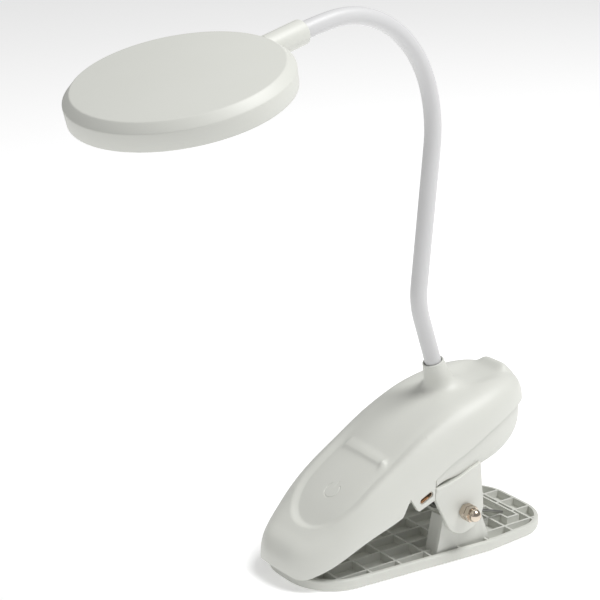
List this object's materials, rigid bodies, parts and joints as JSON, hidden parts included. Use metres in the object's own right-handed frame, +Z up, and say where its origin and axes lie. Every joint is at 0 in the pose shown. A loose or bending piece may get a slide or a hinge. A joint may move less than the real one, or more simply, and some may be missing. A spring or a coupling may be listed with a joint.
{
  "type": "clip-on reading lamp",
  "caption": "Clip-on reading lamp with a sprung plastic clip, a sleeved flexible gooseneck and a flat round LED head.",
  "frame": {"origin": "on the underside of the lower jaw, straight below the clip's pivot", "axes": "+Z up, -X towards the clip's nose and the lamp head, +Y along the pivot towards the bolt's round head"},
  "size_m": [0.245, 0.0965, 0.261],
  "materials": {
    "shell_abs": "fine matte moulded ABS, warm light grey-white",
    "jaw_abs": "fine matte moulded ABS, warm light grey",
    "sleeve_silicone": "satin white silicone sleeve",
    "steel": "plain steel",
    "nickel": "bright nickel plate",
    "circuit_board": "green solder mask",
    "cell_wrap": "shrink film",
    "opal_diffuser": "opal acrylic",
    "led_board_white": "white solder mask"
  },
  "bodies": {
    "lower_jaw": {"lower_jaw": "jaw_abs", "pivot_bolt": "nickel", "pivot_washer": "nickel", "pivot_nut": "nickel", "pivot_cap_nut": "nickel", "pivot_bush": "jaw_abs", "torsion_spring": "steel", "torsion_spring_lower_leg": "steel"},
    "upper_jaw": {"top_shell": "shell_abs", "bottom_shell": "shell_abs", "shell_screw_1": "steel", "shell_screw_2": "steel", "shell_screw_3": "steel", "shell_screw_4": "steel", "control_board": "circuit_board", "touch_spring": "nickel", "battery_cell": "cell_wrap", "usb_socket": "nickel", "torsion_spring_upper_leg": "steel", "neck_sleeve_0": "sleeve_silicone", "neck_core_0": "steel", "neck_anchor": "nickel"},
    "neck_1": {"neck_sleeve_1": "sleeve_silicone", "neck_core_1": "steel"},
    "neck_2": {"neck_sleeve_2": "sleeve_silicone", "neck_core_2": "steel"},
    "neck_3": {"neck_sleeve_3": "sleeve_silicone", "neck_core_3": "steel"},
    "neck_4": {"neck_sleeve_4": "sleeve_silicone", "neck_core_4": "steel"},
    "neck_5": {"neck_sleeve_5": "sleeve_silicone", "neck_core_5": "steel"},
    "head": {"neck_sleeve_6": "sleeve_silicone", "neck_core_6": "steel", "head_cover": "shell_abs", "diffuser": "opal_diffuser", "led_board": "led_board_white", "head_ferrule": "nickel"}
  },
  "joints": [
    {"name": "clip_hinge", "type": "hinge", "parent": "lower_jaw", "child": "upper_jaw", "pos_m": [0, 0, 0.0245], "axis": [0, 1, 0], "range_deg": [0, 26], "stiffness_Nm_per_rad": 1.3, "springref_deg": -28.65},
    {"name": "neck_bend_1", "type": "hinge", "parent": "upper_jaw", "child": "neck_1", "pos_m": [-0.00068, 0, 0.10329], "axis": [-0.0968, 0.9948, -0.0318], "range_deg": [-20, 25]},
    {"name": "neck_bend_2", "type": "hinge", "parent": "neck_1", "child": "neck_2", "pos_m": [-0.00309, 0.001, 0.14198], "axis": [0.9872, 0.0919, -0.1303], "range_deg": [-25, 25]},
    {"name": "neck_bend_3", "type": "hinge", "parent": "neck_2", "child": "neck_3", "pos_m": [0.00191, 0.00274, 0.18108], "axis": [-0.0968, 0.9948, -0.0318], "range_deg": [-15, 25]},
    {"name": "neck_bend_4", "type": "hinge", "parent": "neck_3", "child": "neck_4", "pos_m": [0.00065, 0.00387, 0.2201], "axis": [-0.0968, 0.9948, -0.0318], "range_deg": [-15, 30]},
    {"name": "neck_bend_5", "type": "hinge", "parent": "neck_4", "child": "neck_5", "pos_m": [-0.02325, 0.00251, 0.25029], "axis": [0.4941, 0.0758, 0.8661], "range_deg": [-25, 25]},
    {"name": "neck_bend_6", "type": "hinge", "parent": "neck_5", "child": "head", "pos_m": [-0.06124, -0.00101, 0.25594], "axis": [-0.0968, 0.9948, -0.0318], "range_deg": [-15, 35]}
  ]
}
